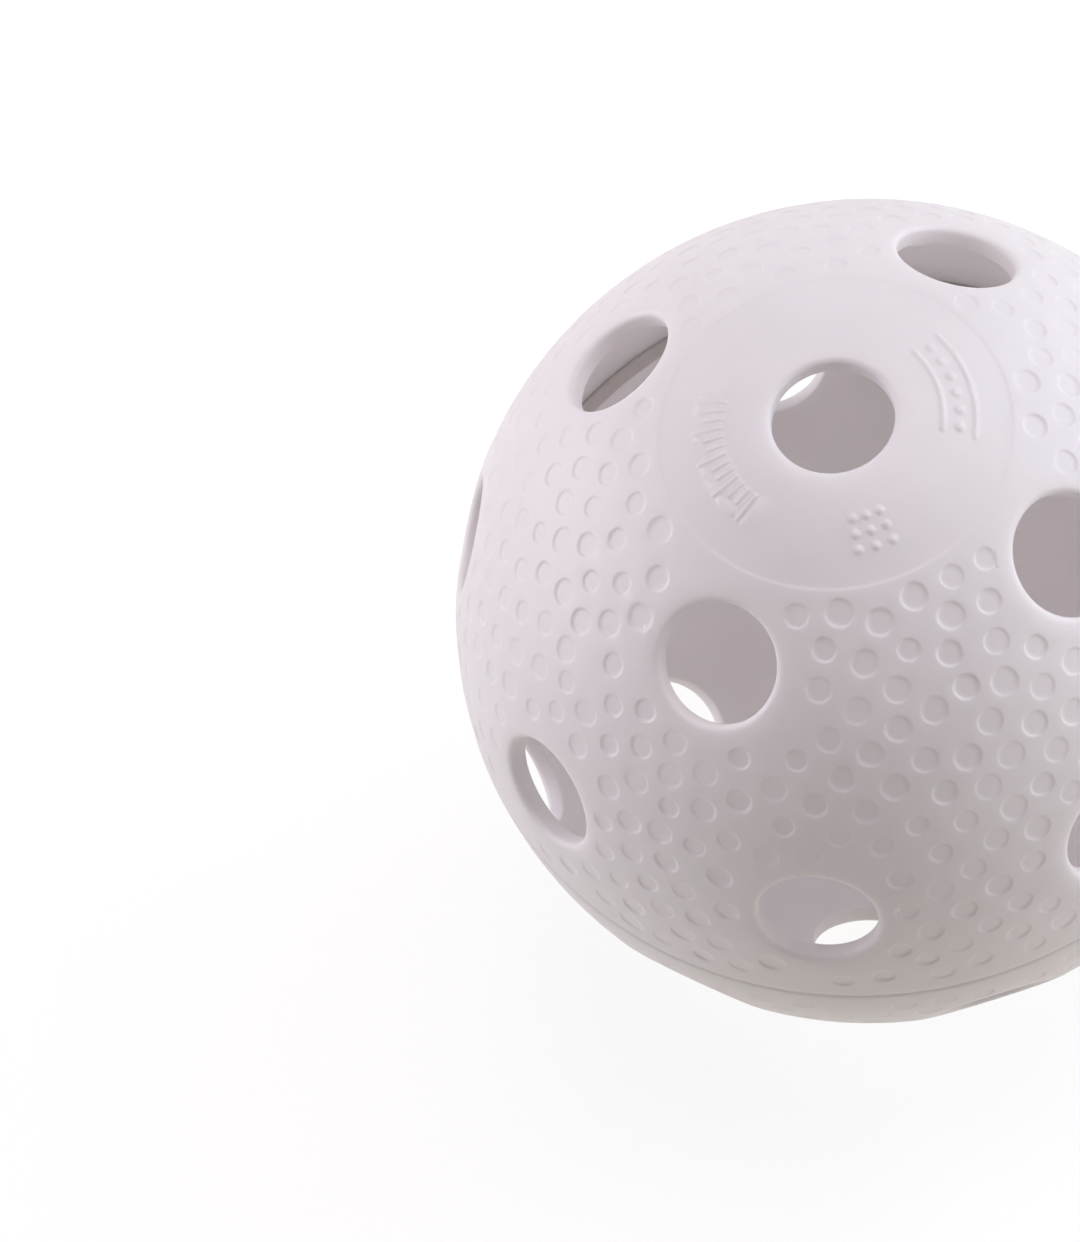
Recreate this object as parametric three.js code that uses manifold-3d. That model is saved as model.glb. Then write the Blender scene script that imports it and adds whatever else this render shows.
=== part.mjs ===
// Floorball ball: two moulded half shells with air holes, lapped and welded together at the seam.
// Lengths are in millimetres and angles in degrees. +Z runs through the two pole holes, the seam
// lies in the XY plane, and the origin is the ball's centre.

import * as THREE from 'three';
import { mergeVertices } from 'three/addons/utils/BufferGeometryUtils.js';
import Module from 'manifold-3d';

const wasm = await Module();
wasm.setup();

// Ball
const ballDiameter = 72;
const wallThickness = 1.8;

// Air holes
const holeDiameter = 10;
const holeEdgeRadius = 0.5;
const innerRingCount = 4;
const innerRingAngle = 36;
const outerRingCount = 8;
const outerRingAngle = 71.5;

// Smooth cap round each pole, moulded a little below the rest of the skin
const capDiameter = 29.4;
const capDepth = 0.12;
const capStepWidth = 0.3;

// Seam: a lip on the upper half sits in a rebate in the lower half
const lipDepth = 1.2;
const lipShare = 0.45;
const lipClearance = 0.05;
const grooveDepth = 0.2;
const grooveWidth = 0.5;

// Bead of plastic that the weld pushes inwards
const beadWidth = 2.2;
const beadHeight = 0.8;
const beadClearance = 0.02;

// Cutters run this far past the wall
const overrun = 2;

// Fineness of the round faces
const turnSteps = 48;
const holeSteps = 16;
const arcStep = 9;
const edgeSteps = 2;
const beadSteps = 4;

// Worked out from the sizes above
const ballRadius = ballDiameter / 2;
const innerRadius = ballRadius - wallThickness;
const capRadius = ballRadius - capDepth;
const holeRadius = holeDiameter / 2;
const rimRadius = holeRadius + holeEdgeRadius;
const landHeight = lipDepth + beadWidth;
const landRadius = heightOnSphere(innerRadius, landHeight);
const lipRadius = landRadius + (ballRadius - landRadius) * lipShare;
const fullTurn = 360;
const halfTurn = fullTurn / 2;
const quarterTurn = fullTurn / 4;

// The lower half is turned by half a step of the outer ring, so no hole faces another over the seam
const lowerHalfTurn = fullTurn / outerRingCount / 2;

const shellMaterial = new THREE.MeshStandardMaterial({ color: '#e6dde3', roughness: 0.55, metalness: 0 });
const weldMaterial = new THREE.MeshStandardMaterial({ color: '#dcd5d6', roughness: 0.7, metalness: 0 });

function radians(degrees) {
  return THREE.MathUtils.degToRad(degrees);
}

function heightOnSphere(radius, distanceFromAxis) {
  return Math.sqrt(radius * radius - distanceFromAxis * distanceFromAxis);
}

// Angle from the seam plane at which a sphere reaches a height
function riseAngle(radius, height) {
  return THREE.MathUtils.radToDeg(Math.asin(height / radius));
}

// Points on a circle about the origin, from one rise angle to another
function arcPoints(radius, fromAngle, toAngle) {
  const steps = Math.ceil(Math.abs(toAngle - fromAngle) / arcStep);
  return Array.from({ length: steps + 1 }, (_, step) => {
    const angle = radians(fromAngle + ((toAngle - fromAngle) * step) / steps);
    return new THREE.Vector2(radius * Math.cos(angle), radius * Math.sin(angle));
  });
}

// Where a profile meets the axis, its point lies exactly on it
function onAxis(height) {
  return new THREE.Vector2(0, height);
}

// Turns a profile of radius and height about +Z
function turned(points, steps) {
  return new THREE.LatheGeometry(points, steps).rotateX(radians(quarterTurn));
}

// A closed three.js mesh as a solid that can be cut
function toSolid(geometry) {
  const bare = geometry.clone();
  bare.deleteAttribute('normal');
  bare.deleteAttribute('uv');
  const merged = mergeVertices(bare);
  const corners = merged.getIndex().array;
  const triangles = [];
  for (let start = 0; start < corners.length; start += 3) {
    const [a, b, c] = corners.slice(start, start + 3);
    if (a !== b && b !== c && c !== a) triangles.push(a, b, c);
  }
  return new wasm.Manifold(new wasm.Mesh({
    numProp: 3,
    vertProperties: Float32Array.from(merged.getAttribute('position').array),
    triVerts: Uint32Array.from(triangles),
  }));
}

function toGeometry(solid) {
  const { vertProperties, triVerts } = solid.getMesh();
  const geometry = new THREE.BufferGeometry();
  geometry.setAttribute('position', new THREE.BufferAttribute(vertProperties, 3));
  geometry.setIndex(new THREE.BufferAttribute(triVerts, 1));
  geometry.computeVertexNormals();
  return geometry;
}

// Outer skin from the seam groove up to the pole, with the step down to the smooth cap
function outerSkin() {
  const grooveAngle = riseAngle(ballRadius, grooveWidth / 2);
  const stepAngle = quarterTurn - riseAngle(ballRadius, capDiameter / 2);
  const capAngle = quarterTurn - riseAngle(capRadius, capDiameter / 2 - capStepWidth);
  return [
    new THREE.Vector2(ballRadius - grooveDepth, 0),
    ...arcPoints(ballRadius, grooveAngle, stepAngle),
    ...arcPoints(capRadius, capAngle, quarterTurn).slice(0, -1),
    onAxis(capRadius),
  ];
}

// Inner wall from the pole down to the straight land behind the seam
function innerWall() {
  return [
    onAxis(innerRadius),
    ...arcPoints(innerRadius, quarterTurn, riseAngle(innerRadius, landHeight)).slice(1),
  ];
}

function upperSeam() {
  return [
    new THREE.Vector2(landRadius, -lipDepth),
    new THREE.Vector2(lipRadius, -lipDepth),
    new THREE.Vector2(lipRadius, 0),
  ];
}

function lowerSeam() {
  return [
    new THREE.Vector2(landRadius, lipDepth + lipClearance),
    new THREE.Vector2(lipRadius + lipClearance, lipDepth + lipClearance),
    new THREE.Vector2(lipRadius + lipClearance, 0),
  ];
}

// Cutter for one air hole along +Z, flared so that the hole's outer edge is rounded
function holeCutter(skinRadius) {
  const flareStart = heightOnSphere(skinRadius, rimRadius) - holeEdgeRadius;
  const flare = Array.from({ length: edgeSteps + 1 }, (_, step) => {
    const angle = radians((quarterTurn * step) / edgeSteps);
    return new THREE.Vector2(
      rimRadius - holeEdgeRadius * Math.cos(angle),
      flareStart + holeEdgeRadius * Math.sin(angle),
    );
  });
  const profile = [
    onAxis(heightOnSphere(innerRadius, rimRadius) - overrun),
    new THREE.Vector2(holeRadius, heightOnSphere(innerRadius, rimRadius) - overrun),
    ...flare,
    new THREE.Vector2(rimRadius, skinRadius + overrun),
    onAxis(skinRadius + overrun),
  ];
  return turned(profile, holeSteps);
}

// One hole at the pole, a ring of four round it and a ring of eight nearer the seam
function holePlaces() {
  const places = [{ polar: 0, azimuth: 0, skinRadius: capRadius }];
  const rings = [
    { count: innerRingCount, polar: innerRingAngle, start: 0 },
    { count: outerRingCount, polar: outerRingAngle, start: fullTurn / outerRingCount / 2 },
  ];
  for (const ring of rings) {
    for (let index = 0; index < ring.count; index += 1) {
      const azimuth = ring.start + (fullTurn * index) / ring.count;
      places.push({ polar: ring.polar, azimuth, skinRadius: ballRadius });
    }
  }
  return places;
}

// A half shell, built with its pole up
function halfShell(seamPoints) {
  const profile = [...innerWall(), ...seamPoints, ...outerSkin()];
  let shell = toSolid(turned(profile, turnSteps));
  for (const place of holePlaces()) {
    const cutter = holeCutter(place.skinRadius);
    cutter.rotateY(radians(place.polar)).rotateZ(radians(place.azimuth));
    shell = shell.subtract(toSolid(cutter));
  }
  return toGeometry(shell);
}

// The weld bead runs round the land where the lip ends
function weldBead() {
  const middle = -lipDepth;
  const outer = landRadius - beadClearance;
  const crown = Array.from({ length: beadSteps + 1 }, (_, step) => {
    const angle = radians((halfTurn * step) / beadSteps);
    return new THREE.Vector2(
      outer - beadHeight * Math.sin(angle),
      middle + (beadWidth / 2) * Math.cos(angle),
    );
  });
  return turned([new THREE.Vector2(outer, middle - beadWidth / 2), ...crown], turnSteps);
}

function namedMesh(name, geometry, material) {
  const mesh = new THREE.Mesh(geometry, material);
  mesh.name = name;
  return mesh;
}

const upperHalf = namedMesh('upper_half_shell', halfShell(upperSeam()), shellMaterial.clone());

const lowerHalf = namedMesh('lower_half_shell', halfShell(lowerSeam()), shellMaterial.clone());
lowerHalf.rotation.set(radians(halfTurn), 0, radians(lowerHalfTurn), 'ZYX');

const bead = namedMesh('weld_bead', weldBead(), weldMaterial);

const ball = new THREE.Group();
ball.add(upperHalf, lowerHalf, bead);

export default ball;
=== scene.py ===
# Floorball ball: the looks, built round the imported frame. Lengths are in metres, angles in degrees.
import math

import bpy
import bmesh
import numpy as np
from mathutils import Matrix, Vector
from mathutils.geometry import delaunay_2d_cdt


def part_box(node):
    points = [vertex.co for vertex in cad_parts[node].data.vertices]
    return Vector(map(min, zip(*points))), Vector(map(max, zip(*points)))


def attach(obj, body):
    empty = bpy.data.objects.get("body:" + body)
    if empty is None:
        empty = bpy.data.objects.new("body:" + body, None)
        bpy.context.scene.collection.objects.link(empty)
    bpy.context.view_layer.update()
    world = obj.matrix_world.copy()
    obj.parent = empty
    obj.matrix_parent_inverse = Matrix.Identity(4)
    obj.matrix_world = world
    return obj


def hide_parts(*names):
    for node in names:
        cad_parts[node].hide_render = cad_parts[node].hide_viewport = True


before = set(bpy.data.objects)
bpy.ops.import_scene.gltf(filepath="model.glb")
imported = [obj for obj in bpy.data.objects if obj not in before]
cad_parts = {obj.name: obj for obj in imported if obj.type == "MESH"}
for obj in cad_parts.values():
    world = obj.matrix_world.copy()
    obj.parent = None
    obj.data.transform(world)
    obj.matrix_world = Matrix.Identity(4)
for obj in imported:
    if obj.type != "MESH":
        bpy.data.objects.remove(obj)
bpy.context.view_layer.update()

mm = 0.001
fullTurn = 2 * math.pi

# The ball as the frame has it. A ring is its count of holes and their angle from the pole
ballUser = {
    "radius": round(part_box("upper_half_shell")[1].x, 4),
    "wall": 1.8 * mm,
    "innerRing": (4, 36.0),
    "outerRing": (8, 71.5),
    "lowerTurn": 22.5,
}
ballRadius = ballUser["radius"]
innerRadius = ballRadius - ballUser["wall"]

# One air hole: a bore with a rounded outer edge, a soft shoulder in the skin round it and a small inner edge.
# Bore is its radius. Shoulder shares are where the net has circles across the shoulder
holeUser = {
    "bore": 5.0 * mm,
    "edge": 0.5 * mm,
    "innerEdge": 0.2 * mm,
    "shoulder": 1.3 * mm,
    "shoulderSink": 0.10 * mm,
    "shoulderShares": (0.2, 0.45, 0.75, 1.0),
    "around": 72,
    "edgeSteps": 6,
    "innerEdgeSteps": 3,
}
rimRadius = holeUser["bore"] + holeUser["edge"]


def addNode(tree, kind, inputs=None, **settings):
    # An input is a value, a socket to link from, or a node, which stands for its first output
    node = tree.nodes.new(kind)
    for key, value in settings.items():
        setattr(node, key, value)
    for socket, value in (inputs or {}).items():
        value = value.outputs[0] if isinstance(value, bpy.types.Node) else value
        if isinstance(value, bpy.types.NodeSocket):
            tree.links.new(value, node.inputs[socket])
        else:
            node.inputs[socket].default_value = value
    return node


def linear(hexColour):
    channels = [int(hexColour[i:i + 2], 16) / 255 for i in (1, 3, 5)]
    return tuple(c / 12.92 if c <= 0.04045 else ((c + 0.055) / 1.055) ** 2.4 for c in channels) + (1.0,)


# Directions and circles on the ball

def direction(polar, azimuth):
    p, a = math.radians(polar), math.radians(azimuth)
    return np.array([math.sin(p) * math.cos(a), math.sin(p) * math.sin(a), math.cos(p)])


def sideOf(normal):
    side = np.cross([0.0, 0.0, 1.0], normal)
    length = np.linalg.norm(side)
    return side / length if length > 1e-6 else np.array([1.0, 0.0, 0.0])


def circleAbout(normal, reach, height, count, turn=0.0):
    u = sideOf(normal)
    t = turn + np.arange(count) * fullTurn / count
    return normal * height + reach * (np.cos(t)[:, None] * u + np.sin(t)[:, None] * np.cross(normal, u))


def levelCircle(reach, height, count):
    return circleAbout(np.array([0.0, 0.0, 1.0]), reach, height, count)


def onSphere(reach, radius):
    return math.sqrt(radius * radius - reach * reach)


def unit(points):
    return points / np.linalg.norm(points, axis=-1, keepdims=True)


def arcFrom(points, normal):
    # Distance along the ball's surface from a direction
    return ballRadius * np.arccos(np.clip(unit(points) @ normal, -1, 1))


def holeDirections():
    places = [direction(0, 0)]
    for (count, polar), start in ((ballUser["innerRing"], 0.0), (ballUser["outerRing"], 0.5)):
        places += [direction(polar, 360 * (i + start) / count) for i in range(count)]
    return places


# Dimples: small shallow dishes with a flat floor, spread over the skin clear of holes, cap and seam.
# Net rings are the circles of points that carry a dish: share of its reach, and count of points
dimpleUser = {
    "diameter": 2.3 * mm,
    "sizeSpread": 0.12,
    "depth": 0.18 * mm,
    "flatShare": 0.74,  # of the reach is flat floor
    "draft": 0.8,  # share of the depth that is lost on the pole side, near the seam
    "draftFrom": 0.45,  # sine of the angle from the pole where that starts, and where it is full
    "draftFull": 0.95,
    "wobble": 0.20,  # how far an outline strays from round
    "wobbleSize": 1.6 * mm,
    "pitch": 3.5 * mm,
    "leastPitch": 2.75 * mm,
    "packing": 0.866,  # rows packed closely lie this share of a pitch apart
    "strayShare": 0.2,  # of the pitch, each way, at random
    "holeClear": 7.6 * mm,
    "capClear": 16.6 * mm,
    "seamClear": 3.2 * mm,
    "startShare": 0.93,  # of each clear distance is free at the start, and the settling frees the rest
    "seamStartShare": 0.8,
    "settleRounds": 12,
    "settleShare": 0.2,
    "depthSpread": 0.45,  # the shallowest is this much shallower
    "netRings": ((0.0, 1), (0.5, 8), (0.72, 18), (0.81, 20), (0.89, 20), (0.97, 20), (1.05, 20)),
    "seed": 4,
}

# The smooth cap round each pole hole, a touch below the rest of the skin
capUser = {
    "radius": 14.7 * mm,
    "depth": 0.08 * mm,
    "step": 0.4 * mm,
    "stepRings": 6,
    "around": 240,
}

# The seam: a shallow groove over a lap, with the lower half a little proud. Upper and lower say how far each
# half's skin lies off the ball at heights from the seam, both in mm
seamUser = {
    "upper": [(0.0, -0.06), (0.10, -0.052), (0.20, -0.034), (0.32, -0.014), (0.46, -0.003), (0.75, 0.0)],
    "lower": [(0.0, -0.06), (0.10, -0.04), (0.20, -0.005), (0.32, 0.03), (0.46, 0.045), (0.75, 0.035),
              (1.1, 0.02), (2.6, 0.0)],
    "rings": (0.0, 0.10, 0.20, 0.32, 0.46, 0.75, 1.1),
    "lipDepth": 1.2 * mm,
    "lipShare": 0.45,
    "clearance": 0.05 * mm,
    "around": 288,
}

# The bead that the weld pushes inwards, with a wavy crown
beadUser = {
    "width": 2.2 * mm,
    "height": 0.8 * mm,
    "wave": 0.12 * mm,
    "waves": (7, 19, 43),
    "gap": 0.02 * mm,
    "steps": 8,
    "seed": 11,
}

# Raised marks on the cap, plain ones: a scale of bars, a row of dots between two lines, and a block of dots.
# Each lies at an azimuth and at a reach from the pole, measured along the skin
markUser = {
    "height": 0.14 * mm,
    "slope": 0.10 * mm,
    "margin": 0.22 * mm,
    "endSteps": 8,
    "lineSteps": 24,
    "lineEndSteps": 6,
    "scale": {"azimuth": -135.0, "reach": 10.3 * mm, "count": 13, "spacing": 0.9 * mm, "width": 0.42 * mm,
              "long": 2.7 * mm, "short": 1.8 * mm, "longEvery": 3},
    "row": {"azimuth": 45.0, "reach": 10.3 * mm, "count": 6, "spacing": 1.6 * mm, "dot": 0.85 * mm,
            "lines": (-1.35 * mm, 1.35 * mm), "width": 0.42 * mm, "length": 9.6 * mm},
    "block": {"azimuth": -45.0, "reach": 10.5 * mm, "across": 3, "spacing": 1.3 * mm, "dot": 0.7 * mm},
}

# The net of points that the skins are made on: how far apart they lie, and how far from what they go round
netUser = {
    "skinSpacing": 0.85 * mm,
    "dimpleShare": 0.6,
    "dimpleGap": 0.3 * mm,
    "ringGap": 0.4 * mm,
    "capGap": 0.35 * mm,
    "markGap": 0.35 * mm,
    "wallSpacing": 1.5 * mm,
    "wallTurn": 0.4,
    "wallRing": 0.5 * mm,
    "wallGap": 1.1 * mm,
    "landGap": 0.6 * mm,
    "dotReach": 1.5 * mm,  # a mark smaller than this may hold loose points
    "turnStep": 2.4,  # radians from one dimple's circles to the next
    "batch": 100,  # directions compared at a time
    "weldDistance": 0.004 * mm,
}

landHeight = seamUser["lipDepth"] + beadUser["width"]
landRadius = onSphere(landHeight, innerRadius)


def spreadDimples(holes):
    # A golden-angle spiral gives the start, a few nudges from neighbours even it out
    rng = np.random.default_rng(dimpleUser["seed"])
    pitch = dimpleUser["pitch"] / ballRadius
    count = int(fullTurn / (dimpleUser["packing"] * pitch * pitch))
    index = np.arange(count) + 0.5
    z = 1 - index / count
    turn = index * math.pi * (3 - math.sqrt(5))
    flat = np.sqrt(1 - z * z)
    points = np.stack([flat * np.cos(turn), flat * np.sin(turn), z], 1)
    points = unit(points + rng.normal(0, dimpleUser["strayShare"] * pitch, points.shape))
    keepOut = [(holes[0], dimpleUser["capClear"])] + [(h, dimpleUser["holeClear"]) for h in holes[1:]]
    for normal, clear in keepOut:
        points = points[arcFrom(points, normal) > dimpleUser["startShare"] * clear]
    seam = math.sin(dimpleUser["seamClear"] / ballRadius)
    points = points[points[:, 2] > seam * dimpleUser["seamStartShare"]]
    for _ in range(dimpleUser["settleRounds"]):
        gap = points[:, None, :] - points[None, :, :]
        distance = np.linalg.norm(gap, axis=2) + np.eye(len(points))
        push = np.maximum(0, pitch - distance)
        np.fill_diagonal(push, 0)
        nudge = (gap / distance[:, :, None] * push[:, :, None]).sum(1)
        points = unit(points + dimpleUser["settleShare"] * nudge)
        for normal, clear in keepOut:
            near = arcFrom(points, normal) < clear
            side = unit(points[near] - (points[near] @ normal)[:, None] * normal + 1e-9)
            angle = clear / ballRadius
            points[near] = math.cos(angle) * normal + math.sin(angle) * side
        low = points[:, 2] < seam
        points[low] = np.column_stack([unit(points[low, :2]) * math.sqrt(1 - seam * seam),
                                       np.full(low.sum(), seam)])
    kept = []
    for point in points:
        apart = (np.linalg.norm(point - other) * ballRadius for other in kept)
        if all(distance > dimpleUser["leastPitch"] for distance in apart):
            kept.append(point)
    spread = dimpleUser["sizeSpread"]
    reach = dimpleUser["diameter"] / 2 * rng.uniform(1 - spread, 1 + spread, len(kept))
    return np.array(kept), reach


def triangulated(rings, loose, holeCount):
    # Rings stay edges of the net, and the first ones are the holes. The half ball is laid flat for this
    # by a stereographic map, which keeps circles round
    points, edges, owner = [], [], []
    for number, ring in enumerate(rings):
        start = len(points)
        points += list(ring)
        edges += [(start + i, start + (i + 1) % len(ring)) for i in range(len(ring))]
        owner += [number if number < holeCount else -1] * len(ring)
    owner = np.array(owner + [-1] * len(loose))
    points = np.array(points + list(loose))
    away = unit(points)
    flat = away[:, :2] / (1 + away[:, 2])[:, None]
    _, _, faces, origin, _, _ = delaunay_2d_cdt([Vector(p) for p in flat], edges, [], 1, 1e-7)
    source = np.array([o[0] if o else -1 for o in origin])
    if (source < 0).any():
        raise RuntimeError("two rings of the net cross")
    faces = source[np.array(faces)]
    corner = owner[faces]
    inHole = (corner[:, 0] >= 0) & (corner[:, 0] == corner[:, 1]) & (corner[:, 1] == corner[:, 2])
    return points, faces[~inHole]


def evenPoints(spacing, radius, turn):
    # A golden-angle spiral over the half ball, at a given spacing
    count = int(fullTurn * radius * radius / (spacing * spacing))
    index = np.arange(count) + 0.5
    z = 1 - index / count
    angle = turn + index * math.pi * (3 - math.sqrt(5))
    flat = np.sqrt(1 - z * z)
    return radius * np.stack([flat * np.cos(angle), flat * np.sin(angle), z], 1)


def clearOf(points, normals, reach, radius):
    away = unit(points)
    keep = np.ones(len(points), bool)
    for start in range(0, len(normals), netUser["batch"]):
        some = np.array(normals[start:start + netUser["batch"]])
        angle = np.arccos(np.clip(away @ some.T, -1, 1))
        keep &= (angle * radius > reach).all(1)
    return points[keep]


def barOutline(azimuth, polar, across, along, inset):
    # A round-ended bar across the pole's direction, or a dot where both its sizes are the same
    normal = direction(polar, azimuth)
    u = sideOf(normal)
    v = np.cross(normal, u)
    halfAcross, halfAlong = across / 2 - inset, along / 2 - inset
    steps = markUser["endSteps"]
    points = []
    for end in (1, -1):
        for step in range(steps if across == along else steps + 1):
            t = math.pi * step / steps
            x = end * (halfAcross - halfAlong + halfAlong * math.sin(t))
            points.append(normal * ballRadius + x * v - end * halfAlong * math.cos(t) * u)
    return unit(np.array(points)) * ballRadius


def lineOutline(azimuth, polar, width, length, reach, inset):
    # A long line that follows a circle round the pole
    circle = ballRadius * math.sin(math.radians(polar))
    half, spread = width / 2 - inset, math.degrees(length / reach)
    trim = math.degrees((half + inset) / circle)
    ends = (azimuth - spread / 2 + trim, azimuth + spread / 2 - trim)
    halfPolar, halfTurn = math.degrees(half / ballRadius), math.degrees(half / circle)
    steps, endSteps = markUser["lineSteps"], markUser["lineEndSteps"]
    points = []
    for end, (start, stop) in ((1, ends), (-1, ends[::-1])):
        for i in range(steps + 1):
            points.append(direction(polar + end * halfPolar, start + (stop - start) * i / steps))
        for i in range(1, endSteps):
            t = math.pi * i / endSteps
            points.append(direction(polar + end * halfPolar * math.cos(t),
                                    stop + end * halfTurn * math.sin(t)))
    return np.array(points) * ballRadius


def markOutlines(inset):
    # Every mark's outline, drawn in by the inset
    def placed(field, across, along):
        azimuth = field["azimuth"] + math.degrees(along / field["reach"])
        return azimuth, math.degrees((field["reach"] + across) / ballRadius)

    scale, row, block = markUser["scale"], markUser["row"], markUser["block"]
    outlines = []
    for i in range(scale["count"]):
        size = scale["long"] if i % scale["longEvery"] == 0 else scale["short"]
        place = placed(scale, (size - scale["long"]) / 2, (i - (scale["count"] - 1) / 2) * scale["spacing"])
        outlines.append(barOutline(*place, size, scale["width"], inset))
    for across in row["lines"]:
        place = placed(row, across, 0.0)
        outlines.append(lineOutline(*place, row["width"], row["length"], row["reach"], inset))
    for i in range(row["count"]):
        place = placed(row, 0.0, (i - (row["count"] - 1) / 2) * row["spacing"])
        outlines.append(barOutline(*place, row["dot"], row["dot"], inset))
    middle = (block["across"] - 1) / 2
    for i in range(block["across"]):
        for j in range(block["across"]):
            place = placed(block, (i - middle) * block["spacing"], (j - middle) * block["spacing"])
            outlines.append(barOutline(*place, block["dot"], block["dot"], inset))
    return outlines


def outerSkin(holes, dimples, reaches):
    around = holeUser["around"]
    rings = []
    for share in (0.0, *holeUser["shoulderShares"]):
        reach = rimRadius + share * holeUser["shoulder"]
        rings += [circleAbout(normal, reach, onSphere(reach, ballRadius), around) for normal in holes]
    for step in range(capUser["stepRings"]):
        arc = capUser["radius"] + capUser["step"] * (step / (capUser["stepRings"] - 1) - 0.5)
        rings.append(levelCircle(ballRadius * math.sin(arc / ballRadius),
                                 ballRadius * math.cos(arc / ballRadius), capUser["around"]))
    for height in seamUser["rings"]:
        angle = height * mm / ballRadius
        rings.append(levelCircle(ballRadius * math.cos(angle), ballRadius * math.sin(angle),
                                 seamUser["around"]))
    feet, tops, margins = [markOutlines(inset) for inset in (0.0, markUser["slope"], -markUser["margin"])]
    raisedFrom = sum(len(ring) for ring in rings + feet)
    raisedTo = raisedFrom + sum(len(ring) for ring in tops)
    rings += feet + tops
    loose = list(margins)
    for number, (centre, dimpleReach) in enumerate(zip(dimples, reaches)):
        for share, count in dimpleUser["netRings"]:
            reach, turn = share * dimpleReach, number * netUser["turnStep"]
            loose.append(circleAbout(centre, reach, onSphere(reach, ballRadius), count, turn))
    filler = evenPoints(netUser["skinSpacing"], ballRadius, 0.0)
    for normals, clear in (
            (dimples, dimpleUser["diameter"] * netUser["dimpleShare"] + netUser["dimpleGap"]),
            (holes, rimRadius + holeUser["shoulder"] + netUser["ringGap"]),
            (unit(np.concatenate(margins)), netUser["markGap"])):
        filler = clearOf(filler, normals, clear, ballRadius)
    fromStep = abs(arcFrom(filler, holes[0]) - capUser["radius"])
    filler = filler[(fromStep > capUser["step"] / 2 + netUser["capGap"])
                    & (filler[:, 2] > seamUser["rings"][-1] * mm + netUser["ringGap"])]
    points, faces = triangulated(rings, np.concatenate(loose + [filler]), len(holes))
    offset = np.zeros(len(points))
    rimArc = arcFrom(rings[0][:1], holes[0])[0]
    for normal in holes:
        far = np.clip((arcFrom(points, normal) - rimArc) / holeUser["shoulder"], 0, 1)
        offset -= holeUser["shoulderSink"] * (1 - far) ** 2
    offset[raisedFrom:raisedTo] += markUser["height"]
    offset[withinDots(points, tops, raisedTo)] += markUser["height"]
    return points * (1 + offset / ballRadius)[:, None], faces


def withSeam(skin, profile):
    # Bends the skin near the seam to the edge that this half has there
    points, faces = skin
    height = ballRadius * np.arcsin(np.clip(points[:, 2] / ballRadius, -1, 1))
    heights, offsets = np.array(profile).T * mm
    return points * (1 + np.interp(height, heights, offsets) / ballRadius)[:, None], faces


def withinDots(points, outlines, start):
    # Loose points within a dot or a short bar rise with it
    inside = []
    for outline in outlines:
        middle = unit(outline.mean(0))
        reach = arcFrom(outline, middle).max()
        near = start + np.flatnonzero(arcFrom(points[start:], middle) < reach)
        if reach < netUser["dotReach"]:
            inside += list(near)
    return np.array(inside, int)


def innerSkin(holes):
    reach = holeUser["bore"] + holeUser["innerEdge"]
    rings = [circleAbout(normal, ringReach, onSphere(ringReach, innerRadius), holeUser["around"])
             for ringReach in (reach, reach + netUser["wallRing"]) for normal in holes]
    rings.append(levelCircle(landRadius, landHeight, seamUser["around"]))
    filler = evenPoints(netUser["wallSpacing"], innerRadius, netUser["wallTurn"])
    filler = clearOf(filler, holes, reach + netUser["wallGap"], innerRadius)
    filler = filler[filler[:, 2] > landHeight + netUser["landGap"]]
    points, faces = triangulated(rings, filler, len(holes))
    return points, faces[:, ::-1]


def strip(rings):
    # Quads between rings of equal count
    count = len(rings[0])
    faces = []
    for row in range(len(rings) - 1):
        for i in range(count):
            j = (i + 1) % count
            faces.append((row * count + i, row * count + j, (row + 1) * count + j, (row + 1) * count + i))
    return np.array(rings).reshape(-1, 3), faces


def collar():
    # The wall of an air hole along +Z, from the skin's rim over the rounded edge and down the bore
    edge, inner, bore = holeUser["edge"], holeUser["innerEdge"], holeUser["bore"]
    sunk = 1 - holeUser["shoulderSink"] / ballRadius
    top = onSphere(rimRadius, ballRadius) * sunk
    low = onSphere(bore + inner, innerRadius)
    lean = math.asin(rimRadius / ballRadius)
    profile = [(rimRadius * sunk, top)]
    for step in range(1, holeUser["edgeSteps"] + 1):
        angle = lean + (math.pi / 2 - lean) * step / holeUser["edgeSteps"]
        profile.append((rimRadius - edge * (math.sin(angle) - math.sin(lean)) / (1 - math.sin(lean)),
                        top - edge * (math.cos(lean) - math.cos(angle))))
    profile.append((bore, (top + low) / 2))
    for step in range(holeUser["innerEdgeSteps"]):
        angle = math.pi / 2 * step / holeUser["innerEdgeSteps"]
        profile.append((bore + inner * (1 - math.cos(angle)), low + inner * (1 - math.sin(angle))))
    profile.append((bore + inner, low))
    return [levelCircle(reach, height, holeUser["around"]) for reach, height in profile]


def seamFaces(isUpper):
    lip = landRadius + (ballRadius - landRadius) * seamUser["lipShare"]
    depth, clear = seamUser["lipDepth"], seamUser["clearance"]
    groove = ballRadius + seamUser["upper"][0][1] * mm
    if isUpper:
        corners = [(groove, 0.0), (lip, 0.0), (lip, -depth), (landRadius, -depth)]
    else:
        corners = [(groove, 0.0), (lip + clear, 0.0), (lip + clear, depth + clear),
                   (landRadius, depth + clear)]
    corners.append((landRadius, landHeight))
    return [levelCircle(reach, height, seamUser["around"]) for reach, height in corners]


def rawMesh(name, parts):
    verts, faces = [], []
    for points, partFaces in parts:
        start = sum(len(v) for v in verts)
        verts.append(points)
        faces += [tuple(int(i) + start for i in face) for face in partFaces]
    mesh = bpy.data.meshes.new(name)
    mesh.from_pydata(np.concatenate(verts).tolist(), [], faces)
    return mesh


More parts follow.
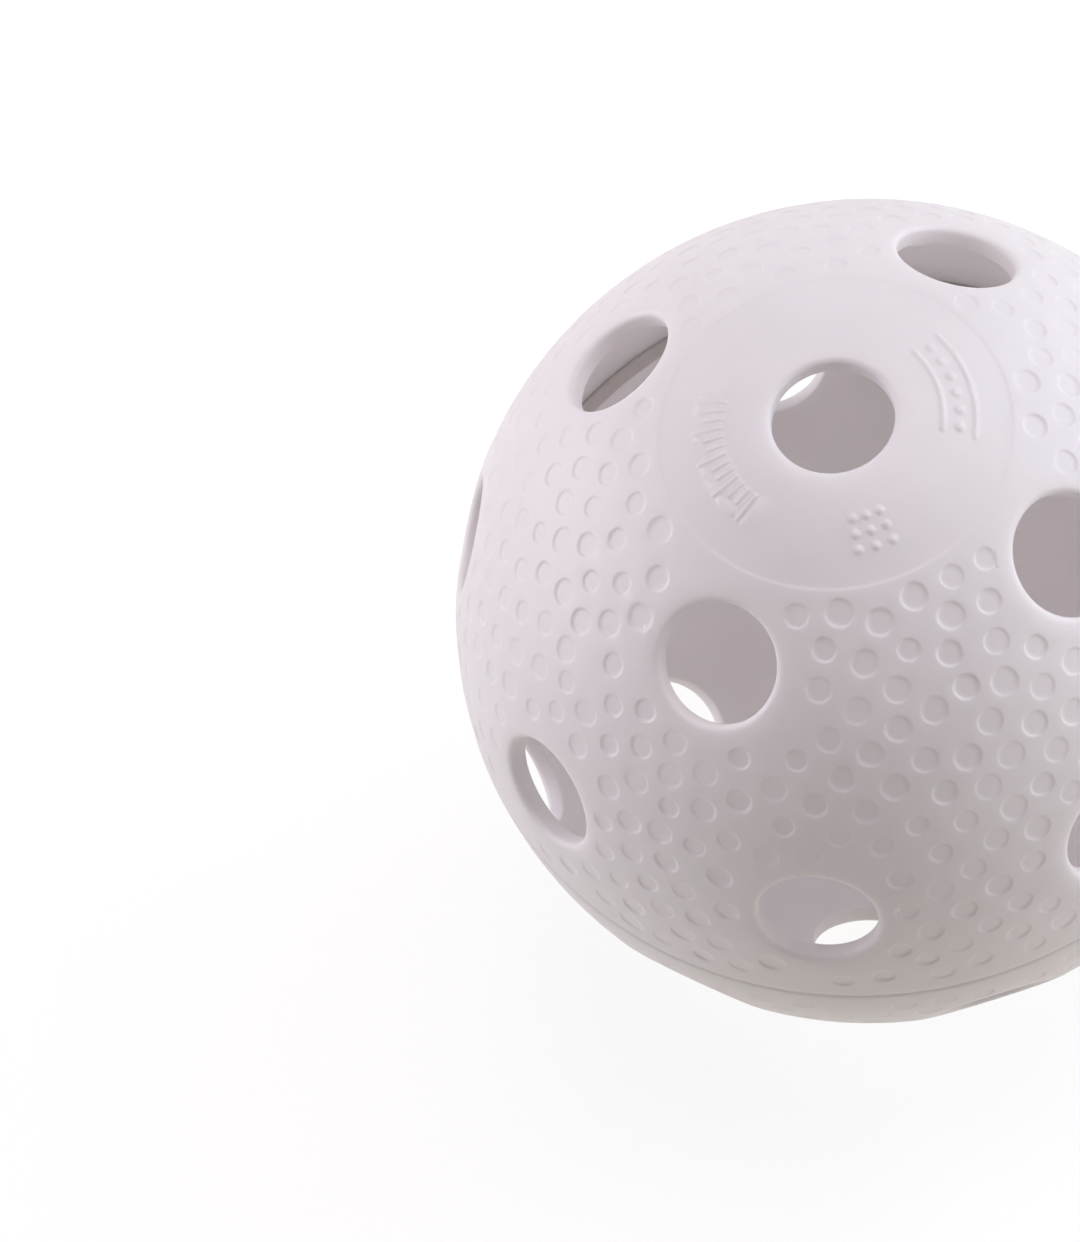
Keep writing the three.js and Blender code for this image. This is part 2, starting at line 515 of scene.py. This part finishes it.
def closeMesh(mesh):
    # Points every face outwards and says how many edges are open
    bm = bmesh.new()
    bm.from_mesh(mesh)
    bmesh.ops.recalc_face_normals(bm, faces=bm.faces)
    loose = sum(1 for e in bm.edges if len(e.link_faces) != 2)
    bm.to_mesh(mesh)
    bm.free()
    mesh.polygons.foreach_set("use_smooth", [True] * len(mesh.polygons))
    print(mesh.name, len(mesh.polygons), "faces,", loose, "open edges")


def linked(name, mesh, *materials):
    piece = bpy.data.objects.new(name, mesh)
    bpy.context.scene.collection.objects.link(piece)
    for material in materials:
        mesh.materials.append(material)
    return piece


# Natural polyethylene with a little white pigment, injection moulded and lightly etched: a cloudy, slightly
# translucent white with a soft sheen, so light gets through the wall and the hole edges glow a little.
# The etch of the mould is about 0.05 mm, too fine to show here, so its grain is drawn coarser
shellUser = {
    "colour": "#F6F3F4",
    "cloud": "#F2EFF0",
    "cloudSize": 14 * mm,
    "scatterDepth": 1.0 * mm,
    "greenScatter": 0.94,
    "scatter": 0.6,
    "through": 0.25,
    "roughness": (0.40, 0.52),
    "grain": 0.35 * mm,
    "grainHeight": 0.006 * mm,
    "ior": 1.51,
}

# The same plastic melted and squeezed at the weld: duller and a little yellower, with ripples of about
# 0.2 mm that are drawn coarser, so that they show
weldUser = {
    "colour": "#E9E4E1",
    "cloud": "#DCD5D0",
    "cloudSize": 5 * mm,
    "scatterDepth": 1.2 * mm,
    "greenScatter": 0.94,
    "scatter": 0.5,
    "through": 0.2,
    "roughness": (0.55, 0.75),
    "grain": 0.6 * mm,
    "grainHeight": 0.02 * mm,
    "ior": 1.51,
}


def polyethylene(name, user):
    material = bpy.data.materials.new(name)
    material.use_nodes = True
    tree = material.node_tree
    tree.nodes.clear()
    place = addNode(tree, "ShaderNodeTexCoord").outputs["Object"]

    # Cloudy colour
    cloud = addNode(tree, "ShaderNodeTexNoise",
                    {"Vector": place, "Scale": 1 / user["cloudSize"], "Detail": 4.0, "Roughness": 0.55})
    tone = addNode(tree, "ShaderNodeMapRange",
                   {"Value": cloud, "From Min": 0.35, "From Max": 0.65}, clamp=True)
    mixed = addNode(tree, "ShaderNodeMix",
                    {0: tone, 6: linear(user["cloud"]), 7: linear(user["colour"])}, data_type="RGBA")
    colour = mixed.outputs[2]

    # Sheen that comes and goes over twice the size of the clouds
    wear = addNode(tree, "ShaderNodeTexNoise",
                   {"Vector": place, "Scale": 0.5 / user["cloudSize"], "Detail": 6.0, "Roughness": 0.6})
    low, high = user["roughness"]
    rough = addNode(tree, "ShaderNodeMapRange",
                    {"Value": wear, "From Min": 0.3, "From Max": 0.7, "To Min": low, "To Max": high},
                    clamp=True)

    # Grain of the surface
    grain = addNode(tree, "ShaderNodeTexNoise",
                    {"Vector": place, "Scale": 1 / user["grain"], "Detail": 3.0, "Roughness": 0.6})
    bump = addNode(tree, "ShaderNodeBump",
                   {"Height": grain, "Strength": 0.6, "Distance": user["grainHeight"]})

    depth = user["scatterDepth"]
    shader = addNode(tree, "ShaderNodeBsdfPrincipled",
                     {"Base Color": colour, "Roughness": rough, "Normal": bump, "IOR": user["ior"],
                      "Subsurface Weight": user["scatter"], "Subsurface Scale": 1.0,
                      "Subsurface Radius": (depth, depth * user["greenScatter"], depth)})
    through = addNode(tree, "ShaderNodeBsdfTranslucent", {"Color": colour, "Normal": bump})
    plastic = addNode(tree, "ShaderNodeMixShader", {0: user["through"], 1: shader, 2: through})
    addNode(tree, "ShaderNodeOutputMaterial", {"Surface": plastic})
    return material


shellPlastic = polyethylene("moulded_polyethylene", shellUser)
weldPlastic = polyethylene("melted_polyethylene", weldUser)
print("materials made")


def shellTree():
    # Puts a collar in every air hole, then sinks the cap and the dimples into the skin
    tree = bpy.data.node_groups.new("PerforatedShell", "GeometryNodeTree")
    tree.interface.new_socket("Geometry", in_out="OUTPUT", socket_type="NodeSocketGeometry")
    sockets = [("Geometry", "Geometry"), ("Hole Points", "Object"), ("Hole Collar", "Object"),
               ("Weld Distance", "Float"), ("Ball Radius", "Float"), ("Wall", "Float"),
               ("Cap Radius", "Float"), ("Cap Step", "Float"), ("Cap Depth", "Float"),
               ("Dimple Centres", "Object"), ("Dimple Depth", "Float"), ("Depth Spread", "Float"),
               ("Flat Share", "Float"), ("Draft", "Float"), ("Draft From", "Float"), ("Draft Full", "Float"),
               ("Wobble", "Float"), ("Wobble Scale", "Float"), ("Seed", "Int"), ("Material", "Material")]
    for label, kind in sockets:
        tree.interface.new_socket(label, in_out="INPUT", socket_type="NodeSocket" + kind)
    source = addNode(tree, "NodeGroupInput").outputs

    holePoints = addNode(tree, "GeometryNodeObjectInfo", {"Object": source["Hole Points"]})
    collarInfo = addNode(tree, "GeometryNodeObjectInfo", {"Object": source["Hole Collar"]})
    normal, side = [addNode(tree, "GeometryNodeInputNamedAttribute", {"Name": label},
                            data_type="FLOAT_VECTOR") for label in ("normalOut", "sideways")]
    turn = addNode(tree, "FunctionNodeAxesToRotation", {0: normal, 1: side},
                   primary_axis="Z", secondary_axis="X")
    collars = addNode(tree, "GeometryNodeInstanceOnPoints",
                      {"Points": holePoints.outputs["Geometry"], "Instance": collarInfo.outputs["Geometry"],
                       "Rotation": turn})
    real = addNode(tree, "GeometryNodeRealizeInstances", {"Geometry": collars})
    joined = addNode(tree, "GeometryNodeJoinGeometry")
    tree.links.new(source["Geometry"], joined.inputs[0])
    tree.links.new(real.outputs[0], joined.inputs[0])
    merged = addNode(tree, "GeometryNodeMergeByDistance",
                     {"Geometry": joined, "Distance": source["Weld Distance"]})

    # Only the skin moves: the weight falls to nothing half way through the wall
    place = addNode(tree, "GeometryNodeInputPosition")
    reach = addNode(tree, "ShaderNodeVectorMath", {0: place}, operation="LENGTH").outputs["Value"]
    outward = addNode(tree, "ShaderNodeVectorMath", {0: place}, operation="NORMALIZE")
    depthIn = addNode(tree, "ShaderNodeMath", {0: source["Ball Radius"], 1: reach}, operation="SUBTRACT")
    halfWall = addNode(tree, "ShaderNodeMath", {0: source["Wall"], 1: 0.5}, operation="MULTIPLY")
    weight = addNode(tree, "ShaderNodeMapRange",
                     {"Value": depthIn, "From Min": 0.0, "From Max": halfWall, "To Min": 1.0, "To Max": 0.0},
                     interpolation_type="SMOOTHSTEP")
    onSkin = addNode(tree, "ShaderNodeVectorMath", {0: outward, "Scale": source["Ball Radius"]},
                     operation="SCALE")
    height = addNode(tree, "ShaderNodeSeparateXYZ", {0: outward}).outputs["Z"]
    polar = addNode(tree, "ShaderNodeMath", {0: height}, operation="ARCCOSINE")

    # The cap, with its step down from the skin
    arc = addNode(tree, "ShaderNodeMath", {0: polar, 1: source["Ball Radius"]}, operation="MULTIPLY")
    halfStep = addNode(tree, "ShaderNodeMath", {0: source["Cap Step"], 1: 0.5}, operation="MULTIPLY")
    stepStart, stepEnd = [addNode(tree, "ShaderNodeMath", {0: source["Cap Radius"], 1: halfStep},
                                  operation=operation) for operation in ("SUBTRACT", "ADD")]
    capSink = addNode(tree, "ShaderNodeMapRange",
                      {"Value": arc, "From Min": stepStart, "From Max": stepEnd,
                       "To Min": source["Cap Depth"], "To Max": 0.0}, interpolation_type="SMOOTHSTEP")

    # Each point's nearest dimple, and how far across it the point lies: 0 in the middle, 1 at the edge
    centreInfo = addNode(tree, "GeometryNodeObjectInfo", {"Object": source["Dimple Centres"]})
    centres = centreInfo.outputs["Geometry"]
    near = addNode(tree, "GeometryNodeProximity", {"Geometry": centres, "Sample Position": onSkin},
                   target_element="POINTS").outputs["Distance"]
    which = addNode(tree, "GeometryNodeSampleNearest", {"Geometry": centres, "Sample Position": onSkin})
    reachOf = addNode(tree, "GeometryNodeInputNamedAttribute", {"Name": "reach"}, data_type="FLOAT")
    dimpleReach = addNode(tree, "GeometryNodeSampleIndex",
                          {"Geometry": centres, "Value": reachOf, "Index": which}, data_type="FLOAT")
    evenShare = addNode(tree, "ShaderNodeMath", {0: near, 1: dimpleReach}, operation="DIVIDE")
    noise = addNode(tree, "ShaderNodeTexNoise",
                    {"Vector": onSkin, "Scale": source["Wobble Scale"], "Detail": 1.0})
    swing = addNode(tree, "ShaderNodeMath", {0: noise, 1: 0.5}, operation="SUBTRACT")
    stretch = addNode(tree, "ShaderNodeMath", {0: swing, 1: source["Wobble"], 2: 1.0},
                      operation="MULTIPLY_ADD")
    share = addNode(tree, "ShaderNodeMath", {0: evenShare, 1: stretch}, operation="MULTIPLY")

    # The mould pulls off towards the pole, so near the seam a dish is deep on its seam side and runs out
    # on its pole side. Aside says how far a point lies towards the seam from the dish's centre, -1 to 1
    centreAt = addNode(tree, "GeometryNodeSampleIndex", {"Geometry": centres, "Value": place, "Index": which},
                       data_type="FLOAT_VECTOR")
    centreHeight, skinHeight = [addNode(tree, "ShaderNodeSeparateXYZ", {0: spot}).outputs["Z"]
                                for spot in (centreAt, onSkin)]
    steep = addNode(tree, "ShaderNodeMath", {0: polar}, operation="SINE")
    span = addNode(tree, "ShaderNodeMath", {0: dimpleReach, 1: steep}, operation="MULTIPLY")
    drop = addNode(tree, "ShaderNodeMath", {0: centreHeight, 1: skinHeight}, operation="SUBTRACT")
    aside = addNode(tree, "ShaderNodeMath", {0: drop, 1: span}, operation="DIVIDE")
    draft = addNode(tree, "ShaderNodeMapRange",
                    {"Value": steep, "From Min": source["Draft From"], "From Max": source["Draft Full"],
                     "To Min": 0.0, "To Max": source["Draft"]})
    towardsPole = addNode(tree, "ShaderNodeMath", {0: 1.0, 1: aside}, operation="SUBTRACT")
    runOut = addNode(tree, "ShaderNodeMath", {0: towardsPole, 1: draft}, operation="MULTIPLY")
    leftOver = addNode(tree, "ShaderNodeMath", {0: runOut, 1: -0.5, 2: 1.0}, operation="MULTIPLY_ADD")

    # The dish itself, no two of the same depth
    dish = addNode(tree, "ShaderNodeMapRange",
                   {"Value": share, "From Min": source["Flat Share"], "From Max": 1.0,
                    "To Min": 1.0, "To Max": 0.0}, interpolation_type="SMOOTHSTEP")
    least = addNode(tree, "ShaderNodeMath", {0: 1.0, 1: source["Depth Spread"]}, operation="SUBTRACT")
    chance = addNode(tree, "FunctionNodeRandomValue",
                     {2: least, 3: 1.0, "ID": which, "Seed": source["Seed"]}, data_type="FLOAT").outputs[1]
    deep = addNode(tree, "ShaderNodeMath", {0: chance, 1: source["Dimple Depth"]}, operation="MULTIPLY")
    cutDepth = addNode(tree, "ShaderNodeMath", {0: dish, 1: deep}, operation="MULTIPLY")

    # Both together push the skin in
    sink = addNode(tree, "ShaderNodeMath", {0: cutDepth, 1: leftOver, 2: capSink}, operation="MULTIPLY_ADD")
    skinSink = addNode(tree, "ShaderNodeMath", {0: sink, 1: weight}, operation="MULTIPLY")
    push = addNode(tree, "ShaderNodeMath", {0: skinSink, 1: -1.0}, operation="MULTIPLY")
    offset = addNode(tree, "ShaderNodeVectorMath", {0: outward, "Scale": push}, operation="SCALE")
    moved = addNode(tree, "GeometryNodeSetPosition", {"Geometry": merged, "Offset": offset})
    whole = addNode(tree, "GeometryNodeRealizeInstances", {"Geometry": moved})
    finish = addNode(tree, "GeometryNodeSetMaterial", {"Geometry": whole, "Material": source["Material"]})
    addNode(tree, "NodeGroupOutput", {0: finish})
    return tree


def grown(piece, tree, values):
    # Runs a tree on a piece and keeps the result as a plain mesh
    modifier = piece.modifiers.new(tree.name, "NODES")
    modifier.node_group = tree
    for item in tree.interface.items_tree:
        if item.in_out == "INPUT" and item.name in values:
            modifier[item.identifier] = values[item.name]
    depsgraph = bpy.context.evaluated_depsgraph_get()
    mesh = bpy.data.meshes.new_from_object(piece.evaluated_get(depsgraph))
    mesh.name = piece.name
    piece.modifiers.clear()
    piece.data = mesh
    closeMesh(mesh)


def pointCloud(name, points, attributes):
    mesh = bpy.data.meshes.new(name)
    mesh.from_pydata(np.array(points).tolist(), [], [])
    for label, values in attributes.items():
        values = np.array(values, np.float32)
        kind, field = ("FLOAT_VECTOR", "vector") if values.ndim == 2 else ("FLOAT", "value")
        mesh.attributes.new(label, kind, "POINT").data.foreach_set(field, values.ravel())
    return linked(name, mesh)


holes = holeDirections()
dimples, reaches = spreadDimples(holes)
print(len(dimples), "dimples a half")
skin = outerSkin(holes, dimples, reaches)
print("outer skin", len(skin[1]), "triangles")
wall = innerSkin(holes)
centreCloud = pointCloud("dimple_centres", dimples * ballRadius, {"reach": reaches})
holeCloud = pointCloud("hole_points", np.zeros((len(holes), 3)),
                       {"normalOut": holes, "sideways": [sideOf(normal) for normal in holes]})
collarPiece = linked("hole_collar", rawMesh("hole_collar", [strip(collar())]))
tree = shellTree()

treeValues = {
    "Hole Points": holeCloud, "Hole Collar": collarPiece, "Weld Distance": netUser["weldDistance"],
    "Ball Radius": ballRadius, "Wall": ballUser["wall"],
    "Cap Radius": capUser["radius"], "Cap Step": capUser["step"], "Cap Depth": capUser["depth"],
    "Dimple Centres": centreCloud, "Dimple Depth": dimpleUser["depth"],
    "Depth Spread": dimpleUser["depthSpread"], "Flat Share": dimpleUser["flatShare"],
    "Draft": dimpleUser["draft"], "Draft From": dimpleUser["draftFrom"],
    "Draft Full": dimpleUser["draftFull"],
    "Wobble": dimpleUser["wobble"], "Wobble Scale": 1 / dimpleUser["wobbleSize"], "Seed": dimpleUser["seed"],
    "Material": shellPlastic,
}
for half in ("upper", "lower"):
    node = half + "_half_shell"
    parts = [withSeam(skin, seamUser[half]), wall, strip(seamFaces(half == "upper"))]
    piece = linked(half + "_half_dimpled_shell", rawMesh(node, parts))
    grown(piece, tree, treeValues)
    if half == "lower":
        piece.data.transform(Matrix.Rotation(math.radians(ballUser["lowerTurn"]), 4, "Z")
                             @ Matrix.Rotation(math.pi, 4, "X"))
    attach(piece, "root")
    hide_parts(node)
for helper in (centreCloud, holeCloud, collarPiece):
    bpy.data.objects.remove(helper)
print("halves made")


def weldRing():
    rng = np.random.default_rng(beadUser["seed"])
    phases = rng.uniform(0, fullTurn, len(beadUser["waves"]))
    t = np.arange(seamUser["around"]) * fullTurn / seamUser["around"]
    swell = sum(np.sin(n * t + p) / (i + 1) for i, (n, p) in enumerate(zip(beadUser["waves"], phases)))
    wave, steps = beadUser["wave"], beadUser["steps"]
    rings = []
    for step in range(steps + 1):
        angle = math.pi * step / steps
        lift = (beadUser["height"] - 2 * wave + wave * swell) * math.sin(angle)
        reach = landRadius - beadUser["gap"] - lift
        height = -seamUser["lipDepth"] + beadUser["width"] / 2 * math.cos(angle)
        rings.append(np.column_stack([reach * np.cos(t), reach * np.sin(t), np.full(len(t), height)]))
    points, faces = strip(rings)
    count, last = len(t), steps * len(t)
    faces += [(last + i, last + (i + 1) % count, (i + 1) % count, i) for i in range(count)]
    return points, faces


ring = linked("weld_bead_ring", rawMesh("weld_bead_ring", [weldRing()]), weldPlastic)
closeMesh(ring.data)
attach(ring, "root")
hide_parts("weld_bead")
print("weld bead made")

# Camera: where the photograph was taken from, turned so that the ball sits off centre as it does there.
# Places and sizes in the picture are in its own pixels
cameraUser = {
    "azimuth": 36.6,
    "elevation": 63.5,
    "roll": 9.8,
    "distanceRadii": 9.83,
    "imagePx": (1080, 1242),
    "ballPx": (866, 611),
    "ballRadiusPx": 411,
    "sensor": 36.0,
}


def cameraAxes():
    az, el = math.radians(cameraUser["azimuth"]), math.radians(cameraUser["elevation"])
    back = Vector((math.sin(az) * math.cos(el), -math.cos(az) * math.cos(el), math.sin(el)))
    right = Vector((math.cos(az), math.sin(az), 0.0))
    up = back.cross(right)
    roll = math.radians(cameraUser["roll"])
    rolledRight = right * math.cos(roll) - up * math.sin(roll)
    rolledUp = up * math.cos(roll) + right * math.sin(roll)
    return rolledRight, rolledUp, back


right, up, back = cameraAxes()
cameraData = bpy.data.cameras.new("camera")
camera = bpy.data.objects.new("camera", cameraData)
bpy.context.scene.collection.objects.link(camera)
bpy.context.scene.camera = camera
widthPx, heightPx = cameraUser["imagePx"]
focalPx = cameraUser["ballRadiusPx"] * math.sqrt(cameraUser["distanceRadii"] ** 2 - 1)
cameraData.sensor_fit = "VERTICAL"
cameraData.sensor_height = cameraUser["sensor"]
cameraData.lens = focalPx * cameraUser["sensor"] / heightPx
cameraData.clip_start = 0.01
cameraData.clip_end = 20.0
ballPx = cameraUser["ballPx"]
towards = Vector((ballPx[0] - widthPx / 2, heightPx / 2 - ballPx[1], -focalPx)).normalized()
aim = towards.rotation_difference(Vector((0.0, 0.0, -1.0))).to_matrix()
stand = Matrix((right, up, back)).transposed()
camera.matrix_world = (Matrix.Translation(back * cameraUser["distanceRadii"] * ballRadius)
                       @ (stand @ aim).to_4x4())
print("camera placed")

# Floor, softboxes and surroundings. Each softbox's place is given as the picture's right, up and towards the
# camera. Fade is where the floor that the camera sees turns from its own tone to white
studioUser = {
    "floor": "#FDF3DC",
    "floorGlow": 0.57,
    "floorTone": 0.45,
    "floorSize": 3.0,
    "seenGlow": 0.80,
    "seenTone": 0.30,
    "fade": (0.06, 0.40),
    "white": "#FFFFFF",
    "skyStrength": 0.04,
    "softboxSize": 0.6,
    "softboxDistance": 0.65,
    "softboxes": {
        "left": {"view": (-0.95, 0.20, 0.05), "power": 3.37, "colour": "#F4F1FF"},
        "right": {"view": (0.97, 0.14, 0.20), "power": 2.07, "colour": "#FFF7FB"},
        "rightUp": {"view": (0.70, 0.66, 0.30), "power": 2.00, "colour": "#D9ECFF"},
        "top": {"view": (0.0, 0.70, 0.72), "power": 2.10, "colour": "#FFF0F0"},
    },
}


def seenRay(tree):
    # 1 for the rays that show the surroundings: the camera's own, and those by way of gloss or glass
    path = addNode(tree, "ShaderNodeLightPath").outputs
    mirrored = addNode(tree, "ShaderNodeMath", {0: path["Is Glossy Ray"], 1: path["Is Transmission Ray"]},
                       operation="MAXIMUM")
    return addNode(tree, "ShaderNodeMath", {0: path["Is Camera Ray"], 1: mirrored}, operation="MAXIMUM")


def studioFloor():
    size = studioUser["floorSize"]
    lowest = min(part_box(node)[0].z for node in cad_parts)
    mesh = bpy.data.meshes.new("floor")
    mesh.from_pydata([(x * size, y * size, lowest) for x, y in ((-1, -1), (1, -1), (1, 1), (-1, 1))],
                     [], [(0, 1, 2, 3)])
    material = bpy.data.materials.new("studio_floor")
    material.use_nodes = True
    tree = material.node_tree
    tree.nodes.clear()
    # The camera sees a whiter floor than the warm one that lights the ball, with the ball's shadow still
    # on it. Away from the ball that floor fades to the white of the surroundings
    place = addNode(tree, "ShaderNodeTexCoord").outputs["Object"]
    away = addNode(tree, "ShaderNodeVectorMath", {0: place}, operation="LENGTH").outputs["Value"]
    fadeStart, fadeEnd = studioUser["fade"]
    seenGlow = addNode(tree, "ShaderNodeMapRange",
                       {"Value": away, "From Min": fadeStart, "From Max": fadeEnd,
                        "To Min": studioUser["seenGlow"], "To Max": 1.0}, interpolation_type="SMOOTHSTEP")
    shaders = []
    for colour, glow, tone in ((studioUser["floor"], studioUser["floorGlow"], studioUser["floorTone"]),
                               (studioUser["white"], seenGlow, studioUser["seenTone"])):
        light = addNode(tree, "ShaderNodeEmission", {"Color": linear(colour), "Strength": glow})
        shade = addNode(tree, "ShaderNodeBsdfDiffuse", {"Color": (tone, tone, tone, 1.0)})
        shaders.append(addNode(tree, "ShaderNodeAddShader", {0: light, 1: shade}))
    mixed = addNode(tree, "ShaderNodeMixShader", {0: seenRay(tree), 1: shaders[0], 2: shaders[1]})
    addNode(tree, "ShaderNodeOutputMaterial", {"Surface": mixed})
    return linked("studio_floor", mesh, material)


studioFloor()

world = bpy.data.worlds.new("studio")
bpy.context.scene.world = world
world.use_nodes = True
worldTree = world.node_tree
worldTree.nodes.clear()
white = linear(studioUser["white"])
sky, backdrop = [addNode(worldTree, "ShaderNodeBackground", {"Color": white, "Strength": strength})
                 for strength in (studioUser["skyStrength"], 1.0)]
mixed = addNode(worldTree, "ShaderNodeMixShader", {0: seenRay(worldTree), 1: sky, 2: backdrop})
addNode(worldTree, "ShaderNodeOutputWorld", {"Surface": mixed})

for name, box in studioUser["softboxes"].items():
    lamp = bpy.data.lights.new("softbox_" + name, "AREA")
    lamp.shape = "DISK"
    lamp.size = studioUser["softboxSize"]
    lamp.energy = box["power"]
    lamp.color = linear(box["colour"])[:3]
    softbox = bpy.data.objects.new("softbox_" + name, lamp)
    bpy.context.scene.collection.objects.link(softbox)
    x, y, z = box["view"]
    placed = (right * x + up * y + back * z).normalized()
    softbox.matrix_world = (Matrix.Translation(placed * studioUser["softboxDistance"])
                            @ placed.to_track_quat("Z", "Y").to_matrix().to_4x4())

bpy.context.scene.view_settings.view_transform = "Standard"
print("studio lit")


print("scene made")
